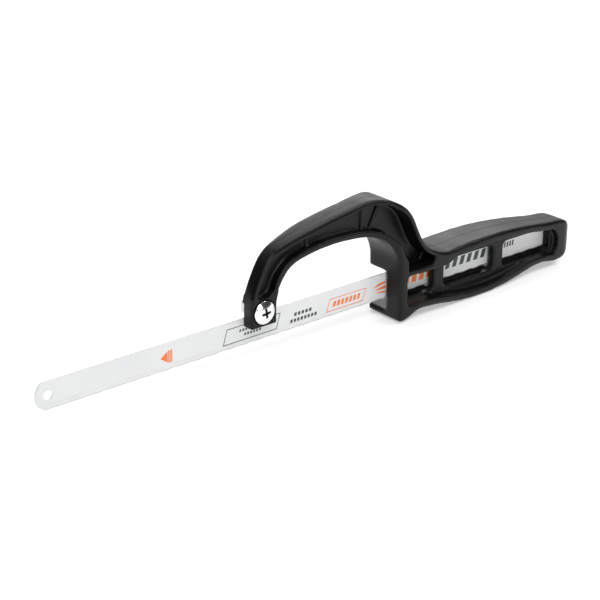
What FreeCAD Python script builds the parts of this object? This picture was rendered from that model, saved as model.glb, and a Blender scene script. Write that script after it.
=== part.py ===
import FreeCAD, Part
import Sketcher
import os
import re

# Compact one-hand hacksaw. Millimetres, +Z up, teeth down.
# Origin: centre of the blade's front pin hole, in the middle of the blade's thickness.
# +X runs along the blade towards the handle, and the blade's flat faces look along -Y and +Y.
# The clamp screw goes in from -Y, the near side. Its nut is on +Y, the far side.

Vector = FreeCAD.Vector

SIZES = [
    # blade
    ("blade_span", 300.0, "between the centres of the two pin holes"),
    ("blade_tail", 6.0, "from a pin hole's centre to the blade's end"),
    ("blade_width", 13.0, "back edge to tooth tips"),
    ("blade_thick", 0.65, "thickness of the strip"),
    ("blade_nose", 8.0, "radius of the blade's rounded ends"),
    ("pin_hole_size", 4.0, "diameter of a pin hole"),
    ("edge_width", 2.2, "width of the toothed strip, with its teeth"),
    ("tooth_pitch", 1.058, "24 teeth to the inch"),
    ("tooth_depth", 0.7, "tooth tip to gullet"),
    ("tooth_lean", 0.1, "how far a tooth's cutting face leans back from the gullet to the tip"),
    # clamp
    ("thread_size", 5.0, "outer diameter of the screw's thread"),
    ("thread_gap", 0.4, "between the thread and the blade's back edge"),
    ("head_size", 11.0, "diameter of the screw's head"),
    ("head_height", 3.4, "height of the head"),
    ("head_rim", 1.9, "height of the head's straight rim"),
    ("head_flat", 2.8, "diameter of the flat on top of the head's dome"),
    ("head_sink", 1.6, "depth of the seat that the head lies in"),
    ("head_room", 0.35, "gap all round the head in its seat"),
    ("cross_span", 4.8, "across the head's cross recess"),
    ("cross_width", 1.2, "width of an arm of the cross"),
    ("cross_depth", 2.2, "depth of the cross recess"),
    ("screw_reach", 1.2, "thread standing out of the nut"),
    ("screw_chamfer", 0.5, "chamfer of the thread's end"),
    ("bore_gap", 0.05, "radial running clearance on the thread"),
    ("washer_size", 10.0, "outer diameter of the washer"),
    ("washer_thick", 1.0, "thickness of the washer"),
    ("nut_flats", 8.0, "across the nut's flats"),
    ("nut_height", 4.0, "height of the nut"),
    ("blade_gap", 0.03, "running clearance on each face of the blade at the clamp"),
    ("clamp_room", 0.6, "gap round the washer under the shoulder"),
    # bridge arm
    ("foot_width", 14.0, "width of the arm's foot along the blade"),
    ("foot_lap", 4.0, "how far the foot reaches down over the blade"),
    ("foot_near", 6.5, "from the blade's middle out to the foot's screw face"),
    ("foot_far", 1.2, "from the blade's middle to the leg's far face"),
    ("shoulder_rise", 6.6, "from the blade's back edge up to the shoulder"),
    ("arm_reach", 84.0, "from the foot's front face to the handle's front face"),
    ("crest_over", 40.7, "from the blade's back edge up to the top of the arm"),
    ("arm_half", 6.5, "half the thickness of the arm at its crest"),
    ("flange_outer", 2.6, "outer flange of the arm"),
    ("flange_inner", 3.4, "inner flange of the arm"),
    ("web_thick", 4.6, "web between the arm's two side channels"),
    ("rib_width", 2.0, "width of a cross rib in a channel"),
    ("rib_height", 1.6, "height of a cross rib over the web"),
    # handle
    ("handle_length", 124.6, "front face to rear end"),
    ("handle_half", 11.5, "half the handle's thickness at the front"),
    ("tail_half", 8.0, "half the handle's thickness at the rear end"),
    ("grip_over", 7.1, "from the blade's back edge up to the highest line of the grip"),
    ("grip_under", 9.9, "from the tooth tips down to the lowest line of the grip"),
    ("nose_under", 9.3, "from the tooth tips down to the bottom of the handle's front"),
    ("nose_heel", 3.6, "length of the flat under the handle's front"),
    ("mouth_floor", 3.3, "floor of the front mouth"),
    ("grip_rim", 4.0, "rim over and under the handle's side recess"),
    ("nose_rim", 5.2, "rim behind the handle's front face"),
    ("ledge_height", 3.2, "ledge between the arm's channel and the first window"),
    ("ledge_gap", 0.8, "floor left round the windows in the recess"),
    ("tail_rim", 12.0, "from the side recess to the rear end"),
    ("tail_floor", 3.4, "from the last window to the side recess's rear end"),
    ("channel_slant", 2.0, "slant of the end of the arm's channel"),
    ("recess_slant", 8.0, "slant of the side recess's upper front corner"),
    ("end_room", 2.0, "length left for the bends at the ends of the side recess"),
    ("guide_half", 5.0, "from the blade's middle to the outside of a guide wall"),
    ("slot_width", 1.4, "width of the blade's slot"),
    ("slot_gap", 0.35, "gap over and under the blade in its slot"),
    ("tail_gap", 0.5, "gap behind the blade's rear end in its slot"),
    ("tail_wall", 1.5, "from the slot's rear end to the handle's rear end"),
    ("window_lip", 1.1, "from the blade's back edge down to the windows' upper edge"),
    ("window_under", 1.8, "from the tooth tips down to the windows' lower edge"),
    ("window_length", 33.4, "length of each of the two rear windows"),
    ("window_corner", 3.0, "corner radius of a window"),
    ("bar_width", 7.4, "bar between two windows"),
    ("window_lap", 1.5, "how far a far window runs past the bar that it faces"),
    ("mouth_depth", 11.5, "depth of the far side's open mouth at the front"),
    ("overcut", 1.0, "how far a cut runs on past the face that it opens"),
]

# Points of the arm's outer and inner line: share of the reach, share of the crest's height.
ARM_OUTER = [
    (0.0, 0.25), (0.014, 0.38), (0.042, 0.508), (0.080, 0.636), (0.134, 0.742), (0.214, 0.80),
    (0.345, 0.856), (0.518, 0.917), (0.696, 0.970), (0.825, 1.0), (0.925, 0.982), (1.008, 0.911),
    (1.077, 0.797), (1.120, 0.657), (1.156, 0.525), (1.208, 0.403), (1.285, 0.316), (1.375, 0.268),
]
ARM_INNER = [
    (0.0, 0.17), (0.008, 0.30), (0.032, 0.41), (0.070, 0.508), (0.118, 0.576), (0.190, 0.616),
    (0.280, 0.645), (0.387, 0.659), (0.494, 0.657), (0.590, 0.643), (0.667, 0.617), (0.739, 0.564),
    (0.790, 0.475), (0.822, 0.371), (0.833, 0.26),
]
# Points of the grip's line, from its top round the tail to the finger notch:
# share of the handle's length, share of the rise over or of the drop under the blade's middle line.
GRIP_TOP = [(0.31, 0.95), (0.39, 0.985), (0.475, 1.0), (0.56, 0.985), (0.64, 0.93), (0.72, 0.85),
            (0.80, 0.74), (0.875, 0.655)]
GRIP_TAIL = [(0.935, 0.60), (0.975, 0.40), (0.997, 0.05), (1.0, -0.25), (0.991, -0.50), (0.964, -0.71),
             (0.922, -0.81)]
GRIP_BELLY = [(0.875, -0.795), (0.83, -0.73), (0.78, -0.72), (0.73, -0.77), (0.66, -0.86), (0.575, -0.955),
              (0.49, -1.0), (0.40, -1.0), (0.30, -0.925), (0.20, -0.80)]
NOTCH = [(0.145, -0.765), (0.105, -0.757), (0.075, -0.83), (0.045, -0.93)]

# The outline seen from above. Along the arm: share of the reach, then share of the way from the leg's face
# to the arm's half thickness. FLARE goes on from there to the handle's half thickness. TAPER is along the
# handle: share of its length, share of the way from the handle's half thickness to the tail's.
LEG_NEAR = [(0.0, 0.0), (0.10, 0.0), (0.20, 0.0), (0.35, 0.5), (0.50, 1.0), (0.64, 1.0), (0.76, 1.0)]
LEG_FAR = [(0.0, 0.0), (0.06, 0.0), (0.12, 0.05), (0.18, 0.26), (0.27, 0.57), (0.36, 0.87), (0.46, 1.0),
           (0.61, 1.0), (0.76, 1.0)]
FLARE = [(0.86, 0.2), (0.935, 0.6), (1.0, 1.0)]
TAPER = [(0.25, 0.0), (0.50, 0.3), (0.75, 0.75)]

# Cross ribs in the arm's channels: share of the reach at the rib's lower and upper end.
RIBS = [(0.40, 0.40), (0.785, 0.79), (0.83, 0.915)]

doc = FreeCAD.newDocument("hacksaw")
sheet = doc.addObject("Spreadsheet::Sheet", "sizes")
for row, (alias, number, note) in enumerate(SIZES, start=1):
    sheet.set("A%d" % row, alias)
    sheet.set("B%d" % row, str(number))
    sheet.set("C%d" % row, note)
    sheet.setAlias("B%d" % row, alias)
doc.recompute()

ALIASES = [alias for alias, number, note in SIZES]


# ---------------------------------------------------------------- sizes and expressions

def value(expression):
    """The number that an expression of the sheet's sizes gives now."""
    return float(sheet.evalExpression(expression))


def bind(target, prop, expression):
    """Ties a property or a constraint of an object to an expression of the sheet's sizes."""
    target.setExpression(prop, re.sub(r"[a-z]+(_[a-z]+)*", in_sheet, expression))


def in_sheet(match):
    """A size's name as other objects write it."""
    word = match.group(0)
    return "sizes." + word if word in ALIASES else word


# Places that several pieces share, as expressions. The handle's rear end is set by the blade in its slot,
# and the arm and its foot hang on the handle's front.
TAIL_END = "blade_span + blade_tail + tail_gap + tail_wall"
NOSE_FRONT = TAIL_END + " - handle_length"
FOOT_FRONT = NOSE_FRONT + " - arm_reach"
SCREW_ALONG = FOOT_FRONT + " + foot_width / 2"
FOOT_BACK = FOOT_FRONT + " + foot_width"
SCREW_UP = "blade_width / 2 + thread_gap + thread_size / 2"
FOOT_BOTTOM = "blade_width / 2 - foot_lap"
SHOULDER_UP = "blade_width / 2 + shoulder_rise"
JAW_FACE = "blade_thick / 2 + blade_gap"
SLOT_UP = "blade_width / 2 + slot_gap"
WINDOW_TOP = "blade_width / 2 - window_lip"
CREST_UP = "blade_width / 2 + crest_over"
NOSE_LOW = "-blade_width / 2 - nose_under"


# ---------------------------------------------------------------- building helpers

def new_body(name):
    """A PartDesign body that becomes one sub-part."""
    body = doc.addObject("PartDesign::Body", name)
    body.Label = name
    return body


def new_sketch(body, name, role, offset=None):
    """A sketch on one of the body's own origin planes, moved along its normal if an offset is given."""
    sketch = body.newObject("Sketcher::SketchObject", name)
    plane = [item for item in body.Origin.OriginFeatures if item.Role == role][0]
    sketch.AttachmentSupport = [(plane, "")]
    sketch.MapMode = "FlatFace"
    if offset is not None:
        bind(sketch, "AttachmentOffset.Base.z", offset)
    return sketch


def draw_circle(sketch, right, up, diameter):
    """A circle whose centre and diameter follow the sheet."""
    middle = Vector(value(right), value(up), 0)
    circle = sketch.addGeometry(Part.Circle(middle, Vector(0, 0, 1), value(diameter) / 2))
    place(sketch, "DistanceX", (-1, 1, circle, 3), right)
    place(sketch, "DistanceY", (-1, 1, circle, 3), up)
    place(sketch, "Diameter", (circle,), diameter)


def place(sketch, kind, what, expression):
    """One dimension of a sketch, tied to the sheet."""
    number = sketch.addConstraint(Sketcher.Constraint(kind, *what, value(expression)))
    bind(sketch, "Constraints[%d]" % number, expression)


def draw_box(sketch, left, right, bottom, top):
    """An upright rectangle whose four sides follow the sheet."""
    x0, x1, y0, y1 = value(left), value(right), value(bottom), value(top)
    corners = [Vector(x0, y0, 0), Vector(x1, y0, 0), Vector(x1, y1, 0), Vector(x0, y1, 0)]
    lines = draw_loop(sketch, corners)
    for line, kind in zip(lines, ("Horizontal", "Vertical", "Horizontal", "Vertical")):
        sketch.addConstraint(Sketcher.Constraint(kind, line))
    place(sketch, "DistanceX", (-1, 1, lines[0], 1), left)
    place(sketch, "DistanceX", (-1, 1, lines[1], 1), right)
    place(sketch, "DistanceY", (-1, 1, lines[0], 1), bottom)
    place(sketch, "DistanceY", (-1, 1, lines[2], 1), top)


def draw_loop(sketch, corners):
    """Straight lines through all the corners and back to the first, joined at their ends."""
    following = corners[1:] + corners[:1]
    lines = [sketch.addGeometry(Part.LineSegment(a, b)) for a, b in zip(corners, following)]
    for line, after in zip(lines, lines[1:] + lines[:1]):
        sketch.addConstraint(Sketcher.Constraint("Coincident", line, 2, after, 1))
    return lines


def draw_window(sketch, left, right):
    """The outline of a window with rounded corners, as high as all the windows."""
    x0, x1 = value(left), value(right)
    y0, y1 = value("-blade_width / 2 - window_under"), value(WINDOW_TOP)
    corner = value("window_corner")
    bend = corner * (1 - 0.5 ** 0.5)
    sketch.addGeometry(line_between((x0 + corner, y0), (x1 - corner, y0)))
    sketch.addGeometry(arc_through((x1 - corner, y0), (x1 - bend, y0 + bend), (x1, y0 + corner)))
    sketch.addGeometry(line_between((x1, y0 + corner), (x1, y1 - corner)))
    sketch.addGeometry(arc_through((x1, y1 - corner), (x1 - bend, y1 - bend), (x1 - corner, y1)))
    sketch.addGeometry(line_between((x1 - corner, y1), (x0 + corner, y1)))
    sketch.addGeometry(arc_through((x0 + corner, y1), (x0 + bend, y1 - bend), (x0, y1 - corner)))
    sketch.addGeometry(line_between((x0, y1 - corner), (x0, y0 + corner)))
    sketch.addGeometry(arc_through((x0, y0 + corner), (x0 + bend, y0 + bend), (x0 + corner, y0)))


def line_between(a, b):
    """A straight sketch line between two (right, up) points."""
    return Part.LineSegment(Vector(a[0], a[1], 0), Vector(b[0], b[1], 0))


def arc_through(a, b, c):
    """A sketch arc through three (right, up) points."""
    return Part.ArcOfCircle(Vector(a[0], a[1], 0), Vector(b[0], b[1], 0), Vector(c[0], c[1], 0))


def add_curve(sketch, points, span=4):
    """A smooth line through (right, up) points, as short splines that share their end tangents."""
    places = [Vector(right, up, 0) for right, up in points]
    last = len(places) - 1
    starts = list(range(0, last - span // 2, span)) or [0]
    for start in starts:
        end = last if start == starts[-1] else start + span
        curve = Part.BSplineCurve()
        curve.interpolate(Points=places[start:end + 1], InitialTangent=tangent_at(places, start),
                          FinalTangent=tangent_at(places, end))
        sketch.addGeometry(curve)


def tangent_at(places, index):
    """Direction of a line of points at one of them, from the circle through it and its neighbours."""
    middle = min(max(index, 1), len(places) - 2)
    before = places[middle] - places[middle - 1]
    after = places[middle + 1] - places[middle]
    ratio = after.Length / before.Length
    at_middle = (before * ratio + after * (1 / ratio)).normalize()
    if index == middle:
        return at_middle
    chord = (before if index == 0 else after).normalize()
    return (chord * (2 * chord.dot(at_middle)) - at_middle).normalize()


def moved_aside(points, distance):
    """Points of a line moved to its right-hand side by a distance, or to its left if negative."""
    moved = []
    for index, (right, up) in enumerate(points):
        before = points[max(index - 1, 0)]
        after = points[min(index + 1, len(points) - 1)]
        along = Vector(after[0] - before[0], after[1] - before[1], 0).normalize()
        moved.append((right + along.y * distance, up - along.x * distance))
    return moved


def add_pad(body, name, sketch, length, symmetric=False, reverse=False):
    """Adds the sketch's area, pushed out by a length."""
    pad = body.newObject("PartDesign::Pad", name)
    pad.Profile = sketch
    bind(pad, "Length", length)
    pad.SideType = "Symmetric" if symmetric else "One side"
    pad.Reversed = reverse
    return finish_feature(body, pad, 1)


def add_pocket(body, name, sketch, length, symmetric=False, reverse=False):
    """Cuts the sketch's area out to a length. On an XZ sketch it cuts towards +Y, or -Y in reverse."""
    pocket = body.newObject("PartDesign::Pocket", name)
    pocket.Profile = sketch
    bind(pocket, "Length", length)
    pocket.SideType = "Symmetric" if symmetric else "One side"
    pocket.Reversed = reverse
    return finish_feature(body, pocket, -1)


def finish_feature(body, feature, sign):
    """Recomputes a new feature and makes sure that it added or removed material."""
    before = feature.BaseFeature.Shape.Volume if feature.BaseFeature else 0.0
    body.Tip = feature
    doc.recompute()
    change = (feature.Shape.Volume - before) * sign
    if not change > 0:
        raise RuntimeError("%s changed nothing" % feature.Name)
    return feature


# ---------------------------------------------------------------- blade

def blade_outline():
    """Both ends of the blade, its half width, and how far its corners lie in from its rounded ends."""
    half = value("blade_width / 2")
    nose = value("blade_nose")
    front = value("-blade_tail")
    back = value("blade_span + blade_tail")
    inset = nose - (nose ** 2 - half ** 2) ** 0.5
    return front, back, half, inset


def make_blade_back():
    """The spring-steel back of the blade, down to the weld line, with both pin holes."""
    body = new_body("blade_back")
    sketch = new_sketch(body, "back_outline", "XZ_Plane")
    front, back, half, inset = blade_outline()
    nose = value("blade_nose")
    weld = value("edge_width - blade_width / 2")
    low_inset = nose - (nose ** 2 - weld ** 2) ** 0.5
    sketch.addGeometry(line_between((front + low_inset, weld), (back - low_inset, weld)))
    sketch.addGeometry(arc_through((back - low_inset, weld), (back, 0), (back - inset, half)))
    sketch.addGeometry(line_between((back - inset, half), (front + inset, half)))
    sketch.addGeometry(arc_through((front + inset, half), (front, 0), (front + low_inset, weld)))
    add_pad(body, "back_strip", sketch, "blade_thick", symmetric=True)
    holes = new_sketch(body, "pin_holes", "XZ_Plane")
    draw_circle(holes, "0", "0", "pin_hole_size")
    draw_circle(holes, "blade_span", "0", "pin_hole_size")
    add_pocket(body, "pin_hole_pair", holes, "blade_thick * 2", symmetric=True)
    return body


def make_blade_tooth_edge():
    """The toothed strip under the weld line. Its raked teeth point away from the handle."""
    body = new_body("blade_tooth_edge")
    sketch = new_sketch(body, "edge_outline", "XZ_Plane")
    front, back, half, inset = blade_outline()
    nose = value("blade_nose")
    weld = value("edge_width - blade_width / 2")
    low_inset = nose - (nose ** 2 - weld ** 2) ** 0.5
    pitch, lean = value("tooth_pitch"), value("tooth_lean")
    tip = -half
    gullet = tip + value("tooth_depth")
    first = front + inset + pitch
    count = int((back - front - 2 * inset - 2 * pitch) / pitch)
    points = [(front + low_inset, weld), (front + inset, gullet)]
    for tooth in range(count):
        start = first + tooth * pitch
        points.append((start, gullet))
        points.append((start + lean, tip))
    points.append((back - inset, gullet))
    points.append((back - low_inset, weld))
    for start, end in zip(points, points[1:] + points[:1]):
        sketch.addGeometry(line_between(start, end))
    add_pad(body, "edge_strip", sketch, "blade_thick", symmetric=True)
    return body


# ---------------------------------------------------------------- clamp

def make_clamp_screw():
    """The clamp screw: turned head and shank, then the cross recess."""
    body = new_body("clamp_screw")
    sketch = new_sketch(body, "screw_outline", "XY_Plane", SCREW_UP)
    axis = value(SCREW_ALONG)
    shank = value("thread_size / 2")
    head = value("head_size / 2")
    seat = value("head_sink - foot_near")
    rim = seat - value("head_rim")
    top = seat - value("head_height")
    end = value("blade_thick / 2 + blade_gap + washer_thick + nut_height + screw_reach")
    chamfer = value("screw_chamfer")
    flat = value("head_flat / 2")
    rise = rim - top
    radius_squared = ((head ** 2 - flat ** 2 - rise ** 2) / (2 * rise)) ** 2 + head ** 2
    centre = rim + (radius_squared - head ** 2) ** 0.5
    halfway = (head + flat) / 2
    dome_middle = (axis + halfway, centre - (radius_squared - halfway ** 2) ** 0.5)
    sketch.addGeometry(line_between((axis, top), (axis, end)))
    sketch.addGeometry(line_between((axis, end), (axis + shank - chamfer, end)))
    sketch.addGeometry(line_between((axis + shank - chamfer, end), (axis + shank, end - chamfer)))
    sketch.addGeometry(line_between((axis + shank, end - chamfer), (axis + shank, seat)))
    sketch.addGeometry(line_between((axis + shank, seat), (axis + head, seat)))
    sketch.addGeometry(line_between((axis + head, seat), (axis + head, rim)))
    sketch.addGeometry(arc_through((axis + head, rim), dome_middle, (axis + flat, top)))
    sketch.addGeometry(line_between((axis + flat, top), (axis, top)))
    turned = body.newObject("PartDesign::Revolution", "turned_screw")
    turned.Profile = sketch
    turned.ReferenceAxis = (sketch, ["Edge1"])
    turned.Angle = 360
    finish_feature(body, turned, 1)
    cross = new_sketch(body, "cross_outline", "XZ_Plane", "foot_near - head_sink + head_height")
    draw_cross(cross)
    add_pocket(body, "cross_recess", cross, "cross_depth")
    return body


def draw_cross(sketch):
    """A plus sign centred on the screw's axis."""
    x, y = value(SCREW_ALONG), value(SCREW_UP)
    long, wide = value("cross_span / 2"), value("cross_width / 2")
    steps = [(long, -wide), (long, wide), (wide, wide), (wide, long), (-wide, long), (-wide, wide),
             (-long, wide), (-long, -wide), (-wide, -wide), (-wide, -long), (wide, -long), (wide, -wide)]
    draw_loop(sketch, [Vector(x + right, y + up, 0) for right, up in steps])


def make_clamp_washer():
    """The flat washer that presses the blade against the foot."""
    body = new_body("clamp_washer")
    sketch = new_sketch(body, "washer_outline", "XZ_Plane", "-(%s)" % JAW_FACE)
    draw_circle(sketch, SCREW_ALONG, SCREW_UP, "washer_size")
    draw_circle(sketch, SCREW_ALONG, SCREW_UP, "thread_size + bore_gap * 2")
    add_pad(body, "washer_disc", sketch, "washer_thick", reverse=True)
    return body


def make_clamp_nut():
    """The hex nut on the screw's end, with one flat towards the blade's front end."""
    body = new_body("clamp_nut")
    sketch = new_sketch(body, "nut_outline", "XZ_Plane", "-(%s + washer_thick)" % JAW_FACE)
    x, y = value(SCREW_ALONG), value(SCREW_UP)
    flat = value("nut_flats / 2")
    corner = flat / (3 ** 0.5 / 2)
    steps = [(flat, -corner / 2), (flat, corner / 2), (0, corner),
             (-flat, corner / 2), (-flat, -corner / 2), (0, -corner)]
    draw_loop(sketch, [Vector(x + right, y + up, 0) for right, up in steps])
    add_pad(body, "nut_prism", sketch, "nut_height", reverse=True)
    bore = new_sketch(body, "nut_bore", "XZ_Plane", "-(%s + washer_thick)" % JAW_FACE)
    draw_circle(bore, SCREW_ALONG, SCREW_UP, "thread_size + bore_gap * 2")
    add_pocket(body, "nut_thread_bore", bore, "nut_height * 2", symmetric=True)
    return body


# ---------------------------------------------------------------- frame: handle and bridge arm

def arm_points(stations):
    """Points of one of the arm's lines, from the foot towards the handle."""
    front, reach, crest = value(FOOT_FRONT), value("arm_reach"), value(CREST_UP)
    return [(front + along * reach, up * crest) for along, up in stations]


def inner_points():
    """Points of the arm's inner line, from the back of the foot to the handle's front face."""
    front, length, crest = value(FOOT_BACK), value("arm_reach - foot_width"), value(CREST_UP)
    last = ARM_INNER[-1][0]
    return [(front + along / last * length, up * crest) for along, up in ARM_INNER]


def grip_points(stations):
    """Points of the grip's line."""
    front, length = value(NOSE_FRONT), value("handle_length")
    rise, drop = value("blade_width / 2 + grip_over"), value("blade_width / 2 + grip_under")
    return [(front + along * length, up * (rise if up > 0 else drop)) for along, up in stations]


def handle_line():
    """Points of the handle's line, from its top round the tail to the bottom of its front face."""
    low = value(NOSE_LOW)
    grip = grip_points(GRIP_TOP + GRIP_TAIL + GRIP_BELLY + NOTCH)
    return grip + [(value(NOSE_FRONT + " + nose_heel"), low), (value(NOSE_FRONT), low)]


def make_frame():
    """The one-piece moulding: handle, blade guide, bridge arm and the clamp's fixed jaw."""
    body = new_body("frame")
    add_side_view(body)
    cut_plan_view(body)
    cut_clamp_seat(body)
    cut_arm_channels(body)
    add_ribs(body)
    cut_handle_recesses(body)
    cut_blade_slot(body)
    cut_windows(body)
    cut_screw_seat(body)
    return body


def add_side_view(body):
    """The side view of arm and handle, as one solid of the handle's full thickness."""
    sketch = new_sketch(body, "side_view", "XZ_Plane")
    outer, inner, handle = arm_points(ARM_OUTER), inner_points(), handle_line()
    foot_front, foot_back, foot_low = value(FOOT_FRONT), value(FOOT_BACK), value(FOOT_BOTTOM)
    sketch.addGeometry(line_between((foot_front, foot_low), outer[0]))
    add_curve(sketch, outer + handle[:-1])
    sketch.addGeometry(line_between(handle[-2], handle[-1]))
    sketch.addGeometry(line_between(handle[-1], inner[-1]))
    add_curve(sketch, inner)
    sketch.addGeometry(line_between(inner[0], (foot_back, foot_low)))
    sketch.addGeometry(line_between((foot_back, foot_low), (foot_front, foot_low)))
    add_pad(body, "side_block", sketch, "handle_half * 2", symmetric=True)


def between(stations, start, length, narrow, wide):
    """Points along a length, each a share of the way between two half thicknesses."""
    return [(start + along * length, narrow + out * (wide - narrow)) for along, out in stations]


def cut_plan_view(body):
    """Trims the block to its outline seen from above: slim arm, wide nose, tapered and rounded tail."""
    sketch = new_sketch(body, "plan_view", "XY_Plane")
    front, reach = value(FOOT_FRONT), value("arm_reach")
    nose, length, past = value(NOSE_FRONT), value("handle_length"), value("overcut")
    arm, widest, rear = value("arm_half"), value("handle_half"), value("tail_half")
    tail = nose + length
    rest = between(FLARE, front, reach, arm, widest) + between(TAPER, nose, length, widest, rear)
    rest.append((tail - rear, rear))
    near = between(LEG_NEAR, front, reach, value("foot_near"), arm) + rest
    far = between(LEG_FAR, front, reach, value("foot_far"), arm) + rest
    corners = []
    for line, sign in ((near, -1), (far, 1)):
        side = [(right, up * sign) for right, up in line]
        corners.append((front - past, side[0][1]))
        sketch.addGeometry(line_between(corners[-1], side[0]))
        add_curve(sketch, side)
    sketch.addGeometry(line_between(corners[0], corners[1]))
    sketch.addGeometry(arc_through((tail - rear, -rear), (tail, 0), (tail - rear, rear)))
    around = [(front - 2 * past, -widest - past), (tail + past, -widest - past),
              (tail + past, widest + past), (front - 2 * past, widest + past)]
    draw_loop(sketch, [Vector(right, up, 0) for right, up in around])
    add_pocket(body, "plan_trim", sketch, "(crest_over + nose_under) * 3", symmetric=True)


def cut_clamp_seat(body):
    """Clears the foot's far side for the blade, the washer and the nut, under a shoulder."""
    seat = new_sketch(body, "clamp_seat", "XZ_Plane", JAW_FACE)
    draw_box(seat, FOOT_FRONT + " - overcut", FOOT_BACK + " + overcut", FOOT_BOTTOM + " - overcut",
             SHOULDER_UP)
    add_pocket(body, "clamp_seat_cut", seat, "handle_half * 2")
    relief = new_sketch(body, "washer_relief", "XZ_Plane", JAW_FACE)
    draw_circle(relief, SCREW_ALONG, SCREW_UP, "washer_size + clamp_room * 2")
    add_pocket(body, "washer_relief_cut", relief, "handle_half * 2")


def cut_arm_channels(body):
    """The side channels of the arm, which leave an I section with a web in the middle."""
    outer = moved_aside(arm_points(ARM_OUTER[1:-1]), value("flange_outer"))
    inner = moved_aside(inner_points()[2:-1], -value("flange_inner"))
    nose_wall = value(NOSE_FRONT + " + nose_rim")
    ledge = value(WINDOW_TOP + " + ledge_height")
    low = ((outer[0][0] + inner[0][0]) / 2, min(outer[0][1], inner[0][1]) - value("flange_outer") / 2)
    inner = [point for point in inner if point[0] < nose_wall]
    inner.append((nose_wall, (inner[-1][1] + ledge) / 2))
    bend = (outer[-1][0] - value("channel_slant"), ledge)
    for name, offset, reverse in (("near_channel", "web_thick / 2", True),
                                  ("far_channel", "-web_thick / 2", False)):
        sketch = new_sketch(body, name, "XZ_Plane", offset)
        add_curve(sketch, outer)
        sketch.addGeometry(line_between(outer[-1], bend))
        sketch.addGeometry(line_between(bend, (nose_wall, ledge)))
        sketch.addGeometry(line_between((nose_wall, ledge), inner[-1]))
        add_curve(sketch, inner)
        sketch.addGeometry(arc_through(inner[0], low, outer[0]))
        add_pocket(body, name + "_cut", sketch, "handle_half * 2", reverse=reverse)


def height_at(points, along):
    """Height of a line of points at a place along it, straight between its points."""
    for (x0, y0), (x1, y1) in zip(points, points[1:]):
        if x0 <= along <= x1:
            return y0 + (y1 - y0) * (along - x0) / (x1 - x0)
    return points[-1][1]


def add_ribs(body):
    """Low cross ribs on both sides of the web, from flange to flange."""
    front, reach, half = value(FOOT_FRONT), value("arm_reach"), value("rib_width / 2")
    outer, inner = arm_points(ARM_OUTER), inner_points()
    sketch = new_sketch(body, "ribs", "XZ_Plane")
    for low_share, high_share in RIBS:
        low, high = front + low_share * reach, front + high_share * reach
        bottom = height_at(inner, low) + value("flange_inner / 2")
        top = height_at(outer, high) - value("flange_outer / 2")
        corners = [(low - half, bottom), (low + half, bottom), (high + half, top), (high - half, top)]
        draw_loop(sketch, [Vector(right, up, 0) for right, up in corners])
    add_pad(body, "rib_pads", sketch, "web_thick + rib_height * 2", symmetric=True)


def cut_handle_recesses(body):
    """The recess in each side of the handle, down to the walls that guide the blade."""
    rim, room = value("grip_rim"), value("end_room")
    wall = value(NOSE_FRONT + " + nose_rim")
    tail = value(TAIL_END + " - tail_rim")
    ledge = value(WINDOW_TOP + " + ledge_gap")
    top = moved_aside(grip_points(GRIP_TOP), rim)
    belly = moved_aside(grip_points(GRIP_BELLY + NOTCH[:2]), rim)
    top = [point for point in top if point[0] < tail - room]
    belly = [point for point in belly if wall + room < point[0] < tail - room]
    low = (wall, belly[-1][1])
    corner = (wall, ledge)
    slant = (top[0][0] - value("recess_slant"), ledge)
    for name, offset, reverse in (("near_recess", "guide_half", True),
                                  ("far_recess", "-guide_half", False)):
        sketch = new_sketch(body, name, "XZ_Plane", offset)
        sketch.addGeometry(line_between(low, corner))
        sketch.addGeometry(line_between(corner, slant))
        sketch.addGeometry(line_between(slant, top[0]))
        add_curve(sketch, top)
        sketch.addGeometry(arc_through(top[-1], (tail, (top[-1][1] + belly[0][1]) / 2), belly[0]))
        add_curve(sketch, belly)
        sketch.addGeometry(line_between(belly[-1], low))
        add_pocket(body, name + "_cut", sketch, "handle_half * 2", reverse=reverse)


def cut_blade_slot(body):
    """The slot that the blade slides in, open at the front and rounded like the blade's end."""
    sketch = new_sketch(body, "blade_slot", "XZ_Plane")
    up = value(SLOT_UP)
    back = value("blade_span + blade_tail + tail_gap")
    nose = value("blade_nose + slot_gap")
    inset = nose - (nose ** 2 - up ** 2) ** 0.5
    start = value(NOSE_FRONT + " - overcut")
    sketch.addGeometry(line_between((start, -up), (back - inset, -up)))
    sketch.addGeometry(arc_through((back - inset, -up), (back, 0), (back - inset, up)))
    sketch.addGeometry(line_between((back - inset, up), (start, up)))
    sketch.addGeometry(line_between((start, up), (start, -up)))
    add_pocket(body, "blade_slot_cut", sketch, "slot_width", symmetric=True)
    mouth = new_sketch(body, "mouth", "XZ_Plane", "slot_width / 2")
    draw_box(mouth, NOSE_FRONT + " - overcut", NOSE_FRONT + " + mouth_depth",
             NOSE_LOW + " + mouth_floor", SLOT_UP + " + slot_gap")
    add_pocket(body, "mouth_cut", mouth, "handle_half * 2")


def cut_windows(body):
    """Windows down to the slot: three near ones, and far ones that face the bars between them."""
    wall = NOSE_FRONT + " + nose_rim"
    end = TAIL_END + " - tail_rim - tail_floor"
    last = end + " - window_length"
    middle = last + " - bar_width - window_length"
    ends = [(wall + " + ledge_gap", middle + " - bar_width"), (middle, middle + " + window_length"),
            (last, end)]
    near = new_sketch(body, "near_windows", "XZ_Plane")
    for left, right in ends:
        draw_window(near, left, right)
    add_pocket(body, "near_window_cuts", near, "handle_half * 2", reverse=True)
    far = new_sketch(body, "far_windows", "XZ_Plane")
    for left, right in zip(ends[:-1], ends[1:]):
        start, end = left[1] + " - window_lap", right[0] + " + window_lap"
        draw_window(far, start, end)
    add_pocket(body, "far_window_cuts", far, "handle_half * 2")


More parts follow.
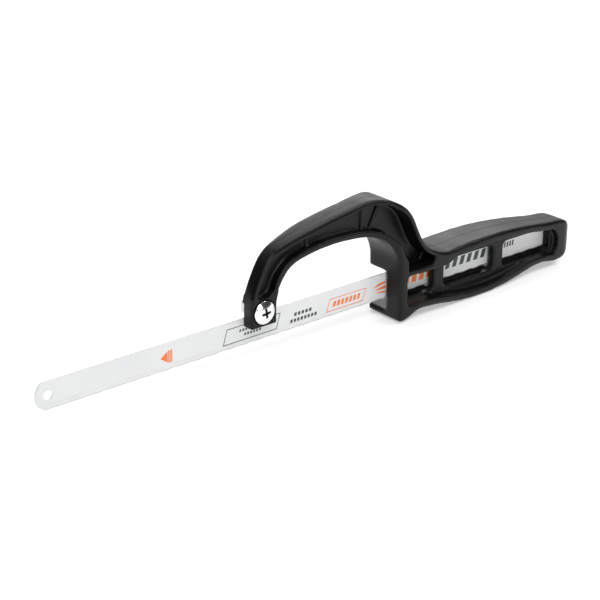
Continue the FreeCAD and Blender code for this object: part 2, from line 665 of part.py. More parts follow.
def cut_screw_seat(body):
    """The round seat of the screw's head in the foot, and the screw's clearance hole."""
    seat = new_sketch(body, "head_seat", "XZ_Plane", "foot_near + overcut")
    draw_circle(seat, SCREW_ALONG, SCREW_UP, "head_size + head_room * 2")
    add_pocket(body, "head_seat_cut", seat, "head_sink + overcut")
    hole = new_sketch(body, "screw_hole", "XZ_Plane", "foot_near")
    draw_circle(hole, SCREW_ALONG, SCREW_UP, "thread_size + bore_gap * 2")
    add_pocket(body, "screw_hole_cut", hole, "foot_near * 2")


# ---------------------------------------------------------------- build, check, export

PARTS = [make_blade_back(), make_blade_tooth_edge(), make_clamp_screw(), make_clamp_washer(),
         make_clamp_nut(), make_frame()]
doc.recompute()

for item in doc.Objects:
    if "Invalid" in item.State or "Error" in item.State:
        raise RuntimeError("%s failed: %s" % (item.Name, item.State))
for part in PARTS:
    if part.Shape.isNull() or not part.Shape.isValid() or len(part.Shape.Solids) != 1:
        raise RuntimeError("%s is not one valid solid" % part.Label)

os.makedirs("parts", exist_ok=True)
for part in PARTS:
    part.Shape.exportStep("parts/%s.step" % part.Label)
    print(part.Label, round(part.Shape.Volume, 1), part.Shape.BoundBox)
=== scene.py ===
"""Looks of a compact one-hand hacksaw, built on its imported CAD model.

Each sub-assembly is a class: the moulded frame, the blade, the clamp screw, and the nut with its washer.
Each finish is a small frozen class that makes one material. Lengths are in millimetres until a mesh is
made. The axes are the CAD's: +X along the blade to the handle, +Z up, and the screw's head on -Y.
"""

import logging
import math
from dataclasses import dataclass, field
from enum import Enum

import bmesh
import bpy
import numpy as np
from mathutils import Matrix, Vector
from mathutils.bvhtree import BVHTree


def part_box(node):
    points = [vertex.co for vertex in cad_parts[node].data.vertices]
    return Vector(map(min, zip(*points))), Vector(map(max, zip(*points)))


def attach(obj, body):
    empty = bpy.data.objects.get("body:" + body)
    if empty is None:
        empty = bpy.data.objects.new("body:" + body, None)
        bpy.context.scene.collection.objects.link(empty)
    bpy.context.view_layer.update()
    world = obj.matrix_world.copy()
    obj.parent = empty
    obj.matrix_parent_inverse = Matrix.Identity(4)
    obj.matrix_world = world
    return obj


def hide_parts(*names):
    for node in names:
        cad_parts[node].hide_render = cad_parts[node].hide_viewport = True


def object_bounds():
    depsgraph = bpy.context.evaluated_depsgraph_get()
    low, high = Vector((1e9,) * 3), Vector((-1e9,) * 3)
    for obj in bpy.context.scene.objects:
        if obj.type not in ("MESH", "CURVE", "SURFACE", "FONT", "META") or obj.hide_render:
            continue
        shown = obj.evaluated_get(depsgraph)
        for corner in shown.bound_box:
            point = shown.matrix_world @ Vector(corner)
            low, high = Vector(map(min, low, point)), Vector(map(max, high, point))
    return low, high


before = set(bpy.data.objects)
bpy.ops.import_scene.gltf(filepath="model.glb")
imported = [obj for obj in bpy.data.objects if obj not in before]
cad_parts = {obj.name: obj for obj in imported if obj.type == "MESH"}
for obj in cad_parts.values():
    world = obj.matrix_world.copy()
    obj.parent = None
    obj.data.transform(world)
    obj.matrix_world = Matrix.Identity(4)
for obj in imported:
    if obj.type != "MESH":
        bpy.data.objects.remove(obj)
CAD_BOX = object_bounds()

LOG = logging.getLogger("hacksaw")
MM = 0.001

Pair = tuple[float, float]
Colour = tuple[float, float, float, float]
Faces = list[tuple[int, ...]]
Surface = tuple[np.ndarray, Faces]
Place = tuple[float, float, float]
Socket = bpy.types.NodeSocket


class Body(str, Enum):
    """The CAD bodies that pieces ride on."""

    MOULDING = "handle_frame"
    BLADE = "blade"
    SCREW = "screw"
    NUT = "nut_and_washer"


class Slot(str, Enum):
    """The record's material slots."""

    PLASTIC = "moulded_plastic"
    PAINT = "blade_paint"
    EDGE = "blade_edge"
    BRIGHT = "bright_steel"
    ZINC = "zinc_steel"


class Side(Enum):
    """The two flat sides of the saw, as the sign of Y."""

    NEAR = -1
    FAR = 1


@dataclass(frozen=True)
class Extent:
    """Lowest and highest corner of a CAD node, in millimetres."""

    low: tuple[float, float, float]
    high: tuple[float, float, float]

    @classmethod
    def of(cls, node: str) -> "Extent":
        """Measures a CAD node.

        Args:
            node: The node's name.

        Returns:
            Its box at rest.
        """
        low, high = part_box(node)
        return cls(tuple(part / MM for part in low), tuple(part / MM for part in high))

    def middle(self, axis: int) -> float:
        """The middle of the box along one axis."""
        return (self.low[axis] + self.high[axis]) / 2

    def size(self, axis: int) -> float:
        """The length of the box along one axis."""
        return self.high[axis] - self.low[axis]


# ---------------------------------------------------------------- mesh tools

def skin(rings: list[np.ndarray], looped: bool = False) -> Surface:
    """Joins rings of points into a closed surface.

    Args:
        rings: Rings with the same number of points each, in order.
        looped: Whether the last ring joins the first. If not, both end rings are capped.

    Returns:
        The points and the faces.
    """
    count = len(rings[0])
    faces: Faces = []
    last = len(rings) if looped else len(rings) - 1
    for row in range(last):
        here, there = row * count, (row + 1) % len(rings) * count
        for step in range(count):
            after = (step + 1) % count
            faces.append((here + step, here + after, there + after, there + step))
    if not looped:
        faces.append(tuple(reversed(range(count))))
        faces.append(tuple(range(last * count, (last + 1) * count)))
    return np.concatenate(rings), faces


def joined(blocks: list[Surface]) -> Surface:
    """Puts several surfaces together.

    Args:
        blocks: The points and faces of each.

    Returns:
        All the points and faces.
    """
    points, faces = [], []
    for block, block_faces in blocks:
        first = len(points)
        points += block.tolist()
        faces += [tuple(first + number for number in face) for face in block_faces]
    return np.array(points), faces


def make_object(name: str, points: np.ndarray, faces: Faces, sharp: float = 32.0) -> bpy.types.Object:
    """Makes a mesh object with outward normals and smooth shading up to an angle.

    Args:
        name: The piece's name.
        points: Its points, in millimetres.
        faces: Its faces.
        sharp: Edges steeper than this many degrees stay crisp.

    Returns:
        The object.
    """
    mesh = bpy.data.meshes.new(name)
    mesh.from_pydata((np.asarray(points) * MM).tolist(), [], faces)
    shell = bmesh.new()
    shell.from_mesh(mesh)
    bmesh.ops.remove_doubles(shell, verts=shell.verts, dist=1e-7)
    bmesh.ops.recalc_face_normals(shell, faces=shell.faces)
    shell.to_mesh(mesh)
    shell.free()
    shade(mesh, sharp)
    thing = bpy.data.objects.new(name, mesh)
    bpy.context.scene.collection.objects.link(thing)
    return thing


def shade(mesh: bpy.types.Mesh, sharp: float) -> None:
    """Shades a mesh smooth, apart from edges steeper than an angle in degrees."""
    mesh.shade_smooth()
    mesh.set_sharp_from_angle(angle=math.radians(sharp))


def bake_modifier(thing: bpy.types.Object, kind: str, **settings: object) -> None:
    """Adds a modifier and makes its result the object's own mesh.

    Args:
        thing: The object.
        kind: Blender's name of the modifier.
        **settings: Its settings.
    """
    modifier = thing.modifiers.new(kind.lower(), kind)
    for name, choice in settings.items():
        setattr(modifier, name, choice)
    graph = bpy.context.evaluated_depsgraph_get()
    baked = bpy.data.meshes.new_from_object(thing.evaluated_get(graph))
    thing.modifiers.clear()
    thing.data = baked


def cut_out(thing: bpy.types.Object, tool: bpy.types.Object, sharp: float = 32.0) -> None:
    """Cuts one object out of another and removes the tool.

    Args:
        thing: The object that is cut.
        tool: The closed shape that is taken away.
        sharp: The shading angle afterwards, in degrees.
    """
    bake_modifier(thing, "BOOLEAN", operation="DIFFERENCE", object=tool, solver="EXACT")
    bpy.data.objects.remove(tool)
    shade(thing.data, sharp)


def relaxed(points: np.ndarray, edges: np.ndarray, weight: np.ndarray, passes: int) -> np.ndarray:
    """Moves points towards their neighbours, which rounds edges.

    Args:
        points: The mesh's points.
        edges: Pairs of point numbers.
        weight: How strongly each point moves, from 0 to 1.
        passes: How many times.

    Returns:
        The moved points.
    """
    pull = 0.5
    count = len(points)
    degree = np.bincount(edges.ravel(), minlength=count)[:, None]
    moved = points.copy()
    for _ in range(passes):
        total = np.empty_like(moved)
        for axis in range(3):
            column = moved[:, axis]
            total[:, axis] = np.bincount(edges[:, 0], column[edges[:, 1]], count)
            total[:, axis] += np.bincount(edges[:, 1], column[edges[:, 0]], count)
        moved += (total / degree - moved) * weight[:, None] * pull
    return moved


@dataclass(frozen=True)
class Lathe:
    """A turning axis along Y, through a point of the XZ plane."""

    right: float
    up: float
    steps: int = 96

    def angles(self) -> np.ndarray:
        """The angle of each point of a ring, turning from +Z to +X."""
        return np.arange(self.steps) * 2 * math.pi / self.steps

    def ring(self, depth: float, radius: float | np.ndarray) -> np.ndarray:
        """Makes one ring.

        Args:
            depth: Its place along Y.
            radius: One radius, or one for each angle.

        Returns:
            Its points.
        """
        turn = self.angles()
        reach = np.broadcast_to(radius, turn.shape)
        right = self.right + reach * np.sin(turn)
        up = self.up + reach * np.cos(turn)
        return np.stack([right, np.full(self.steps, depth), up], axis=1)

    def turned(self, profile: list[Pair]) -> list[np.ndarray]:
        """Rings for a profile of (radius, depth) points."""
        return [self.ring(depth, radius) for radius, depth in profile]


@dataclass(frozen=True)
class Thread:
    """A right-hand screw thread along Y."""

    pitch: float = 0.8
    depth: float = 0.42
    flank_slope: float = 1.25

    def groove(self, turn: np.ndarray, place: float) -> np.ndarray:
        """How deep the groove is, from 0 on the crest to 1 at the root.

        Args:
            turn: Angles about the axis.
            place: Place along the axis.

        Returns:
            A share for each angle.
        """
        phase = (place / self.pitch - turn / (2 * math.pi)) % 1.0
        flank = np.abs(phase - 0.5) * 2
        return np.clip(flank * self.flank_slope - (self.flank_slope - 1) / 2, 0.0, 1.0)


def fit_out(thing: bpy.types.Object, body: Body, material: bpy.types.Material,
            stands_for: tuple[str, ...] = ()) -> bpy.types.Object:
    """Gives a piece its body and finish.

    Args:
        thing: The piece.
        body: The CAD body that it moves with.
        material: Its finish.
        stands_for: CAD nodes that it is shown in place of.

    Returns:
        The piece.
    """
    thing.data.materials.clear()
    thing.data.materials.append(material)
    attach(thing, body.value)
    if stands_for:
        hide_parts(*stands_for)
    LOG.info("%s: %d faces, rides on %s", thing.name, len(thing.data.polygons), body.value)
    return thing


# ---------------------------------------------------------------- shader effects

class Wiring:
    """Adds nodes to one shader tree and joins their sockets."""

    def __init__(self, tree: bpy.types.NodeTree) -> None:
        """Starts work on a tree."""
        self.tree = tree

    def add(self, kind: str, inputs: dict | None = None, **settings: object) -> bpy.types.Node:
        """Adds a node.

        Args:
            kind: Blender's name of the node, without its ShaderNode prefix.
            inputs: Values or sockets for its inputs, by name or number.
            **settings: Its other settings.

        Returns:
            The node.
        """
        node = self.tree.nodes.new("ShaderNode" + kind)
        for name, choice in settings.items():
            setattr(node, name, choice)
        for key, given in (inputs or {}).items():
            if isinstance(given, Socket):
                self.tree.links.new(given, node.inputs[key])
            else:
                node.inputs[key].default_value = given
        return node

    def feed(self, node: bpy.types.Node, **given: Socket) -> None:
        """Joins sockets to a node's inputs, whose names have underscores for spaces."""
        for name, socket in given.items():
            self.tree.links.new(socket, node.inputs[name.replace("_", " ")])

    def maths(self, operation: str, first: object, second: object = 0.0) -> Socket:
        """One sum of two values or sockets, and its result."""
        return self.add("Math", {0: first, 1: second}, operation=operation).outputs[0]

    def times(self, first: object, second: object) -> Socket:
        """The product of two values or sockets."""
        return self.maths("MULTIPLY", first, second)

    def spread(self, given: object, low: object, high: object, to_low: object = 0.0,
               to_high: object = 1.0) -> Socket:
        """Stretches a range of values onto another one.

        Args:
            given: The value.
            low: Start of its range.
            high: End of its range.
            to_low: What the start becomes.
            to_high: What the end becomes.

        Returns:
            The stretched value.
        """
        ends = {"Value": given, "From Min": low, "From Max": high, "To Min": to_low, "To Max": to_high}
        return self.add("MapRange", ends).outputs[0]

    def blend(self, share: object, first: object, second: object) -> Socket:
        """Mixes two colours or sockets by a share, and gives the result."""
        return self.add("Mix", {0: share, 6: first, 7: second}, data_type="RGBA").outputs[2]

    def noise(self, place: object, scale: object, detail: float = 3.0) -> Socket:
        """The value of a noise at a place."""
        return self.add("TexNoise", {"Vector": place, "Scale": scale, "Detail": detail}).outputs[0]

    def stretched(self, stretch: Place = (1.0, 1.0, 1.0)) -> Socket:
        """The object's own coordinates, scaled along each axis."""
        place = self.add("TexCoord").outputs["Object"]
        return self.add("Mapping", {"Vector": place, "Scale": stretch}).outputs[0]


class Effect(Enum):
    """The shader groups that several finishes share."""

    GRAIN = "surface_grain"
    WEAR = "edge_wear"
    DUST = "settled_dust"
    LINES = "drawn_lines"
    MARKS = "handling_marks"


@dataclass(frozen=True)
class EffectGroups:
    """Builds each shared shader group once."""

    def start(self, effect: Effect, inputs: dict[str, float],
              outputs: tuple[str, ...] = ("Mask",)) -> tuple[Wiring, bpy.types.NodeOutputs]:
        """Makes an empty group with named sockets.

        Args:
            effect: Which effect it is.
            inputs: Names and starting values of its inputs.
            outputs: Names of its outputs.

        Returns:
            The group's wiring and the values given to it.
        """
        tree = bpy.data.node_groups.new(effect.value, "ShaderNodeTree")
        for name, number in inputs.items():
            socket = tree.interface.new_socket(name=name, in_out="INPUT", socket_type="NodeSocketFloat")
            socket.default_value = number
        for name in outputs:
            tree.interface.new_socket(name=name, in_out="OUTPUT", socket_type="NodeSocketFloat")
        return Wiring(tree), tree.nodes.new("NodeGroupInput").outputs

    def close(self, wiring: Wiring, **results: Socket) -> None:
        """Joins a group's results to its outputs."""
        wiring.feed(wiring.tree.nodes.new("NodeGroupOutput"), **results)

    def build(self) -> None:
        """Builds all the groups."""
        self.build_grain()
        self.build_wear()
        self.build_dust()
        self.build_lines()
        self.build_marks()

    def build_grain(self) -> None:
        """Fine texture of a moulded or painted skin, with slow mottling."""
        wiring, given = self.start(Effect.GRAIN, {"Grain per metre": 4000.0, "Mottle per metre": 60.0},
                                   ("Height", "Mottle"))
        place = wiring.stretched()
        fine = wiring.noise(place, given["Grain per metre"], 2.0)
        coarse = wiring.noise(place, wiring.times(given["Grain per metre"], 0.22), 3.0)
        height = wiring.maths("ADD", wiring.times(fine, 0.6), wiring.times(coarse, 0.4))
        mottle = wiring.noise(place, given["Mottle per metre"], 4.0)
        self.close(wiring, Height=height, Mottle=wiring.spread(mottle, 0.3, 0.7))

    def build_wear(self) -> None:
        """Rubbed ridges: where the mesh is convex, broken up by noise."""
        wiring, given = self.start(Effect.WEAR, {"Start": 0.52, "Full": 0.6, "Patches per metre": 180.0})
        sharpness = wiring.add("NewGeometry").outputs["Pointiness"]
        ridge = wiring.spread(sharpness, given["Start"], given["Full"])
        patches = wiring.noise(wiring.stretched(), given["Patches per metre"], 5.0)
        self.close(wiring, Mask=wiring.times(ridge, wiring.spread(patches, 0.42, 0.6)))

    def build_dust(self) -> None:
        """Dust on what faces up, in cloudy patches."""
        wiring, given = self.start(Effect.DUST, {"Patches per metre": 90.0})
        normal = wiring.add("NewGeometry").outputs["Normal"]
        upward = wiring.add("SeparateXYZ", {0: normal}).outputs["Z"]
        patches = wiring.noise(wiring.stretched(), given["Patches per metre"], 6.0)
        self.close(wiring, Mask=wiring.times(wiring.spread(upward, 0.35, 1.0),
                                             wiring.spread(patches, 0.4, 0.75)))

    def build_lines(self) -> None:
        """Fine lines along the blade's length, as left by rolling and grinding."""
        wiring, given = self.start(Effect.LINES, {"Lines per metre": 2600.0}, ("Height", "Mask"))
        lines = wiring.noise(wiring.stretched((0.012, 1.0, 1.0)), given["Lines per metre"], 4.0)
        self.close(wiring, Height=lines, Mask=wiring.spread(lines, 0.52, 0.72))

    def build_marks(self) -> None:
        """Hair scratches in loose curves, as left by handling."""
        wiring, given = self.start(Effect.MARKS, {"Marks per metre": 120.0, "Width": 0.006})
        cloud = wiring.noise(wiring.stretched((0.5, 1.3, 1.0)), given["Marks per metre"], 1.0)
        distance = wiring.maths("ABSOLUTE", wiring.maths("SUBTRACT", cloud, 0.5))
        line = wiring.spread(distance, 0.0, given["Width"], 1.0, 0.0)
        breaks = wiring.noise(wiring.stretched(), 70.0, 2.0)
        self.close(wiring, Mask=wiring.times(line, wiring.spread(breaks, 0.5, 0.58)))


def place_effect(wiring: Wiring, effect: Effect, **given: float) -> bpy.types.NodeOutputs:
    """Places a shared group in a material.

    Args:
        wiring: The material's wiring.
        effect: Which group.
        **given: Values for its inputs, with spaces in their names written as underscores.

    Returns:
        The group's results.
    """
    node = wiring.add("Group", node_tree=bpy.data.node_groups[effect.value])
    for name, number in given.items():
        node.inputs[name.replace("_", " ")].default_value = number
    return node.outputs


# ---------------------------------------------------------------- finishes

@dataclass(frozen=True)
class Finish:
    """What all finishes share: a name and a Principled shader with plain values."""

    name: str

    def start(self, **plain: float) -> tuple[Wiring, bpy.types.Node, bpy.types.Material]:
        """Makes a material with one Principled shader.

        Args:
            **plain: Values for the shader's inputs, with underscores for spaces.

        Returns:
            The wiring, the shader and the material.
        """
        material = bpy.data.materials.new(self.name)
        material.use_nodes = True
        material.node_tree.nodes.clear()
        wiring = Wiring(material.node_tree)
        shader = wiring.add("BsdfPrincipled")
        for name, number in plain.items():
            shader.inputs[name.replace("_", " ")].default_value = number
        wiring.add("OutputMaterial", {"Surface": shader.outputs[0]})
        return wiring, shader, material

    def bumped(self, wiring: Wiring, height: Socket, strength: float, distance: float,
               under: Socket | None = None) -> Socket:
        """A normal raised by a height.

        Args:
            wiring: The material's wiring.
            height: The height, from 0 to 1.
            strength: How much of it shows.
            distance: What a height of 1 stands for, in metres.
            under: A normal that this one is laid over.

        Returns:
            The normal.
        """
        inputs = {"Height": height, "Strength": strength, "Distance": distance}
        if under is not None:
            inputs["Normal"] = under
        return wiring.add("Bump", inputs).outputs[0]


@dataclass(frozen=True)
class MouldedPlastic(Finish):
    """Black moulded polymer with a fine spark-eroded skin, rubbed ridges and a little dust."""

    name: str = "moulded_black_plastic"
    colour: Colour = (0.0030, 0.0031, 0.0033, 1.0)
    rubbed: Colour = (0.018, 0.0185, 0.0195, 1.0)
    dust: Colour = (0.16, 0.155, 0.145, 1.0)

    def material(self) -> bpy.types.Material:
        """Makes the material.

        Returns:
            The material.
        """
        wiring, shader, material = self.start(IOR=1.38, Specular_IOR_Level=0.35)
        grain = place_effect(wiring, Effect.GRAIN, Grain_per_metre=5200.0, Mottle_per_metre=55.0)
        wear = place_effect(wiring, Effect.WEAR, Start=0.53, Full=0.66, Patches_per_metre=150.0)
        dust = place_effect(wiring, Effect.DUST, Patches_per_metre=140.0)
        marks = place_effect(wiring, Effect.MARKS, Marks_per_metre=90.0, Width=0.004)
        rubbed = wiring.blend(wiring.times(wear["Mask"], 0.55), self.colour, self.rubbed)
        dusty = wiring.blend(wiring.times(dust["Mask"], 0.04), rubbed, self.dust)
        gloss = wiring.spread(grain["Mottle"], 0.0, 1.0, 0.27, 0.35)
        gloss = wiring.maths("ADD", gloss, wiring.times(marks["Mask"], 0.12))
        gloss = wiring.maths("SUBTRACT", gloss, wiring.times(wear["Mask"], 0.10))
        grained = self.bumped(wiring, grain["Height"], 0.22, 0.00006)
        scratched = self.bumped(wiring, marks["Mask"], 0.12, -0.00003, grained)
        wiring.feed(shader, Base_Color=dusty, Roughness=gloss, Normal=scratched)
        return material


@dataclass(frozen=True)
class PaintedSteel(Finish):
    """Light grey paint on rolled steel, with rubbed edges. Below bare_from the steel is ground bright."""

    name: str = "blade_grey_paint"
    colour: Colour = (0.715, 0.72, 0.725, 1.0)
    shade: Colour = (0.655, 0.66, 0.665, 1.0)
    steel: Colour = (0.50, 0.50, 0.50, 1.0)
    bare_from: float = -100.0
    bare_full: float = -101.0
    back_edge: float = 6.5
    rub_width: float = 0.5

    def material(self) -> bpy.types.Material:
        """Makes the material.

        Returns:
            The material.
        """
        wiring, shader, material = self.start(IOR=1.48, Coat_Roughness=0.12)
        grain = place_effect(wiring, Effect.GRAIN, Grain_per_metre=1700.0, Mottle_per_metre=38.0)
        lines = place_effect(wiring, Effect.LINES, Lines_per_metre=2400.0)
        patches = place_effect(wiring, Effect.GRAIN, Grain_per_metre=900.0, Mottle_per_metre=900.0)
        place = wiring.add("TexCoord").outputs["Object"]
        height = wiring.add("SeparateXYZ", {0: place}).outputs["Z"]
        ground = wiring.spread(height, self.bare_from * MM, self.bare_full * MM)
        near_edge = wiring.spread(height, (self.back_edge - self.rub_width) * MM, self.back_edge * MM)
        rubbed = wiring.times(near_edge, wiring.spread(patches["Mottle"], 0.45, 0.8))
        bare = wiring.maths("MAXIMUM", ground, wiring.times(rubbed, 0.6))
        paint = wiring.blend(wiring.times(grain["Mottle"], 0.5), self.colour, self.shade)
        streaked = wiring.blend(wiring.times(lines["Mask"], 0.35), self.steel, self.shade)
        gloss = wiring.spread(grain["Mottle"], 0.0, 1.0, 0.30, 0.42)
        coat = wiring.spread(bare, 0.0, 1.0, 0.25, 0.0)
        peel = self.bumped(wiring, grain["Height"], 0.12, 0.00005)
        drawn = self.bumped(wiring, lines["Height"], 0.10, 0.00003, peel)
        wiring.feed(shader, Base_Color=wiring.blend(bare, paint, streaked), Metallic=wiring.times(bare, 0.9),
                    Roughness=gloss, Coat_Weight=coat, Normal=drawn)
        return material


@dataclass(frozen=True)
class PlatedSteel(Finish):
    """Plated steel: a bright or a dull plating, with cloudy tone, hair scratches and worn ridges."""

    colour: Colour = (0.86, 0.87, 0.88, 1.0)
    cloud: Colour = (0.78, 0.79, 0.80, 1.0)
    worn: Colour = (0.92, 0.92, 0.92, 1.0)
    gloss_low: float = 0.10
    gloss_high: float = 0.18

    def material(self) -> bpy.types.Material:
        """Makes the material.

        Returns:
            The material.
        """
        wiring, shader, material = self.start(Metallic=1.0)
        grain = place_effect(wiring, Effect.GRAIN, Grain_per_metre=7000.0, Mottle_per_metre=420.0)
        wear = place_effect(wiring, Effect.WEAR, Start=0.55, Full=0.75, Patches_per_metre=600.0)
        marks = place_effect(wiring, Effect.MARKS, Marks_per_metre=700.0, Width=0.01)
        cloudy = wiring.blend(grain["Mottle"], self.colour, self.cloud)
        worn = wiring.blend(wear["Mask"], cloudy, self.worn)
        gloss = wiring.spread(grain["Mottle"], 0.0, 1.0, self.gloss_low, self.gloss_high)
        gloss = wiring.maths("ADD", gloss, wiring.times(marks["Mask"], 0.15))
        pitted = self.bumped(wiring, grain["Height"], 0.06, 0.00003)
        scratched = self.bumped(wiring, marks["Mask"], 0.10, -0.00001, pitted)
        wiring.feed(shader, Base_Color=worn, Roughness=gloss, Normal=scratched)
        return material


@dataclass(frozen=True)
class PaintedRecessShade(Finish):
    """Painted shade inside a driver recess: a near-black colour standing in for the cross's shadow, with
    darkened plated steel mottled through it.
    """

    name: str = "painted_recess_shade"
    # Painted shade: near-black colour in place of the shadow inside the cross recess.
    painted_shade: Colour = (0.008, 0.0078, 0.0075, 1.0)
    # Painted shade: plated steel darkened as if it lay in the recess's shadow.
    plate: Colour = (0.12, 0.12, 0.12, 1.0)

    def material(self) -> bpy.types.Material:
        """Makes the material.

        Returns:
            The material.
        """
        wiring, shader, material = self.start(IOR=1.45)
        grain = place_effect(wiring, Effect.GRAIN, Grain_per_metre=6000.0, Mottle_per_metre=900.0)
        # Painted shade: the recess is coloured near-black, with the darkened plate showing in spots.
        bare = wiring.spread(grain["Mottle"], 0.55, 1.0)
        gloss = wiring.spread(grain["Height"], 0.3, 0.7, 0.35, 0.6)
        wiring.feed(shader, Base_Color=wiring.blend(bare, self.painted_shade, self.plate), Roughness=gloss,
                    Metallic=wiring.times(bare, 0.7),
                    Normal=self.bumped(wiring, grain["Height"], 0.2, 0.00003))
        return material


@dataclass(frozen=True)
class PrintInk(Finish):
    """Screen-printed ink on the blade, a little uneven and thin in places."""

    colour: Colour = (0.80, 0.16, 0.022, 1.0)
    thin: Colour = (0.84, 0.26, 0.08, 1.0)

    def material(self) -> bpy.types.Material:
        """Makes the material.

        Returns:
            The material.
        """
        wiring, shader, material = self.start(IOR=1.5)
        grain = place_effect(wiring, Effect.GRAIN, Grain_per_metre=2600.0, Mottle_per_metre=500.0)
        inked = wiring.blend(wiring.times(grain["Mottle"], 0.55), self.colour, self.thin)
        gloss = wiring.spread(grain["Height"], 0.3, 0.7, 0.38, 0.52)
        wiring.feed(shader, Base_Color=inked, Roughness=gloss,
                    Normal=self.bumped(wiring, grain["Height"], 0.1, 0.00002))
        return material


@dataclass(frozen=True)
class PaleFloor(Finish):
    """The matt pale floor of the studio."""

    name: str = "pale_floor"
    colour: Colour = (0.90, 0.90, 0.90, 1.0)
    shade: Colour = (0.88, 0.88, 0.885, 1.0)

    def material(self) -> bpy.types.Material:
        """Makes the material.

        Returns:
            The material.
        """
        wiring, shader, material = self.start(Roughness=0.8, Specular_IOR_Level=0.2, Emission_Strength=0.42)
        shader.inputs["Emission Color"].default_value = self.colour
        grain = place_effect(wiring, Effect.GRAIN, Grain_per_metre=900.0, Mottle_per_metre=3.0)
        wiring.feed(shader, Base_Color=wiring.blend(grain["Mottle"], self.colour, self.shade),
                    Normal=self.bumped(wiring, grain["Height"], 0.05, 0.0001))
        return material


# ---------------------------------------------------------------- moulded frame

@dataclass
class MouldedFrame:
    """The one-piece moulding: handle, arm and foot, with soft edges and a parting line."""

    box: Extent = field(default_factory=lambda: Extent.of("frame"))
    voxel: float = 0.45
    cell: float = 0.5
    rim_reach: float = 3.4
    rim_passes: int = 30
    skin_passes: int = 5
    clamp_width: float = 16.0
    clamp_height: float = 17.0
    clamp_share: float = 0.15
    thin_reach: float = 16.0
    thin_half: float = 3.5
    thin_share: float = 0.25
    kept_faces: float = 0.4
    seam_half: float = 0.16
    seam_rise: float = 0.06
    seam_sink: float = 0.10
    tail_radius: float = 9.0
    arm_bend: float = 27.0
    bend_up: float = 14.0
    pin_radius: float = 1.4
    pin_width: float = 0.22
    pin_rise: float = 0.05
    pin_flat: float = 0.97
    nose_back: float = 124.6
    seam_back: float = 124.0
    seam_stride: float = 2.0

    def build(self, finish: Finish) -> None:
        """Builds the shell, the parting line and the pin marks.

        Args:
            finish: Their finish.
        """
        material = finish.material()
        shell = self.make_shell()
        details = [self.make_seam(shell), self.make_pin_marks(shell)]
        fit_out(shell, Body.MOULDING, material, ("frame",))
        for detail in details:
            fit_out(detail, Body.MOULDING, material)

    def make_shell(self) -> bpy.types.Object:
        """The CAD solid's skin with its rims rounded, as on the moulding.

        Returns:
            The shell.
        """
        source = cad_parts["frame"]
        shell = bpy.data.objects.new("moulded_shell", source.data.copy())
        bpy.context.scene.collection.objects.link(shell)
        bake_modifier(shell, "REMESH", mode="VOXEL", voxel_size=self.voxel * MM, adaptivity=0.0)
        mesh = shell.data
        points = np.empty(len(mesh.vertices) * 3)
        mesh.vertices.foreach_get("co", points)
        points = points.reshape(-1, 3) / MM
        edges = np.empty(len(mesh.edges) * 2, dtype=np.int64)
        mesh.edges.foreach_get("vertices", edges)
        edges = edges.reshape(-1, 2)
        rims, skin_share = self.rim_weight(points), np.ones(len(points))
        thin = self.over_slot_end(points)
        rims[thin] = 0.0
        skin_share[thin] = self.thin_share
        points = relaxed(points, edges, rims, self.rim_passes)
        points = relaxed(points, edges, skin_share, self.skin_passes)
        mesh.vertices.foreach_set("co", (points * MM).ravel())
        mesh.update()
        bake_modifier(shell, "DECIMATE", decimate_type="COLLAPSE", ratio=self.kept_faces)
        shade(shell.data, sharp=60.0)
        return shell

    def over_slot_end(self, points: np.ndarray) -> np.ndarray:
        """Which points lie on the thin roof and floor round the rear end of the blade's slot."""
        at_tail = points[:, 0] > self.box.high[0] - self.thin_reach
        return at_tail & (np.abs(points[:, 1]) < self.thin_half)

    def rim_weight(self, points: np.ndarray) -> np.ndarray:
        """How strongly each point is rounded: fully at the outline seen from the side, less inside it.

        Args:
            points: The shell's points.

        Returns:
            A weight for each point.
        """
        margin = 3
        right = ((points[:, 0] - self.box.low[0]) / self.cell).astype(int) + margin
        up = ((points[:, 2] - self.box.low[2]) / self.cell).astype(int) + margin
        filled = np.zeros((right.max() + margin + 1, up.max() + margin + 1), dtype=bool)
        filled[right, up] = True
        depth = np.zeros(filled.shape)
        inside = filled
        for _ in range(int(self.rim_reach / self.cell) + 1):
            shrunk = inside.copy()
            for axis in (0, 1):
                for step in (-1, 1):
                    shrunk &= np.roll(inside, step, axis=axis)
            depth[shrunk] += self.cell
            inside = shrunk
        share = np.clip(1 - depth[right, up] / self.rim_reach, 0, 1)
        at_clamp = points[:, 0] < self.box.low[0] + self.clamp_width
        at_clamp &= points[:, 2] < self.clamp_height
        share[at_clamp] *= self.clamp_share
        return share * share * (3 - 2 * share)

    def make_pin_marks(self, shell: bpy.types.Object) -> bpy.types.Object:
        """Faint round marks of the mould's ejector pins on the arm's web and on the guide walls.

        Args:
            shell: The moulded shell that they lie on.

        Returns:
            The rings, as one piece.
        """
        tree = BVHTree.FromObject(shell, bpy.context.evaluated_depsgraph_get())
        front, nose = self.box.low[0], self.box.high[0] - self.nose_back
        places = [(front + 19.0, 30.5), (front + 27.0, 34.3), (front + 45.0, 37.6), (front + 58.0, 38.7),
                  (front + 82.0, 30.0), (nose + 12.0, 18.0), (nose + 30.6, -10.6), (nose + 72.3, -10.6)]
        radius, width, outside = self.pin_radius, self.pin_width, 30.0
        marks = []
        for right, up in places:
            for side in Side:
                start = Vector((right, side.value * outside, up)) * MM
                place, normal, _, _ = tree.ray_cast(start, Vector((0, -side.value, 0)))
                if place is None or abs(normal.y) < self.pin_flat:
                    continue
                depth, out = place.y / MM, side.value * self.pin_rise
                profile = [(radius - width, depth - out), (radius - width * 0.6, depth + out),
                           (radius, depth + out), (radius + width * 0.4, depth - out)]
                marks.append(skin(Lathe(right, up, steps=28).turned(profile), looped=True))
        return make_object("ejector_pin_marks", *joined(marks), sharp=50.0)

